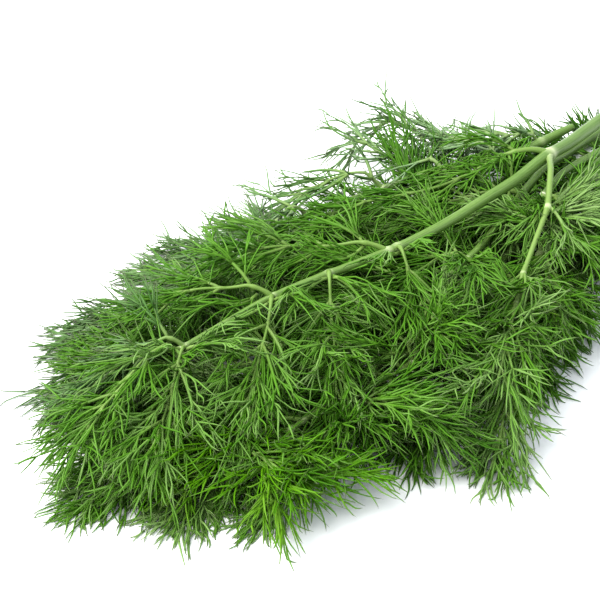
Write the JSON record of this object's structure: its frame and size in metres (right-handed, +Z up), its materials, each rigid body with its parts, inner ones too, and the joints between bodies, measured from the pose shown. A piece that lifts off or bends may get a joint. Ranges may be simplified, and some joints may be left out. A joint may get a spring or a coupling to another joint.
{
  "type": "dill bunch",
  "caption": "A bunch of freshly cut dill lying on a surface: feathery leaves on slim green stems that gather towards their cut ends.",
  "frame": {"origin": "middle of the bunch's plan, on the surface it lies on", "axes": "+X towards the cut stem ends, with the leaf tips at -X; +Y to the back of the bunch; +Z up"},
  "size_m": [0.3492, 0.1834, 0.0432],
  "materials": {
    "stem": "smooth, waxy, finely ribbed lengthwise, with pale joints",
    "leaf_mid": "soft satin, fine threads",
    "leaf_bluish": "soft satin with a bluish bloom, fine threads",
    "leaf_yellowish": "soft satin, fine threads of young growth"
  },
  "bodies": {
    "root": {"low_back_stem": "stem", "low_back_leaf_1": "leaf_bluish", "low_back_leaf_2": "leaf_bluish", "low_back_leaf_3": "leaf_bluish", "low_back_leaf_4": "leaf_bluish", "low_back_leaf_5": "leaf_bluish", "low_back_leaf_6": "leaf_bluish", "low_back_leaf_7": "leaf_bluish", "low_middle_stem": "stem", "low_middle_leaf_1": "leaf_mid", "low_middle_leaf_2": "leaf_mid", "low_middle_leaf_3": "leaf_mid", "low_middle_leaf_4": "leaf_mid", "low_middle_leaf_5": "leaf_mid", "low_middle_leaf_6": "leaf_mid", "low_front_stem": "stem", "low_front_leaf_1": "leaf_mid", "low_front_leaf_2": "leaf_mid", "low_front_leaf_3": "leaf_mid", "low_front_leaf_4": "leaf_mid", "low_front_leaf_5": "leaf_mid", "low_front_leaf_6": "leaf_mid", "low_front_leaf_7": "leaf_mid", "left_stem": "stem", "left_leaf_1": "leaf_yellowish", "left_leaf_2": "leaf_yellowish", "left_leaf_3": "leaf_yellowish", "left_leaf_4": "leaf_yellowish", "front_stem": "stem", "front_leaf_1": "leaf_mid", "front_leaf_2": "leaf_mid", "front_leaf_3": "leaf_mid", "front_leaf_4": "leaf_mid", "front_leaf_5": "leaf_mid", "under_stem": "stem", "under_leaf_1": "leaf_mid", "under_leaf_2": "leaf_mid", "under_leaf_3": "leaf_mid", "under_leaf_4": "leaf_mid", "thin_stem": "stem", "thin_leaf_1": "leaf_mid", "thin_leaf_2": "leaf_mid", "thin_leaf_3": "leaf_mid", "short_stem": "stem", "short_leaf_1": "leaf_bluish", "short_leaf_2": "leaf_bluish", "short_leaf_3": "leaf_bluish", "short_leaf_4": "leaf_bluish", "short_leaf_5": "leaf_bluish", "top_stem": "stem", "top_leaf_1": "leaf_mid", "top_leaf_2": "leaf_mid", "top_leaf_3": "leaf_mid", "top_leaf_4": "leaf_mid", "top_leaf_5": "leaf_mid", "top_leaf_6": "leaf_mid", "top_leaf_7": "leaf_mid", "top_leaf_8": "leaf_bluish", "top_leaf_9": "leaf_mid", "top_leaf_10": "leaf_mid"}
  },
  "joints": []
}
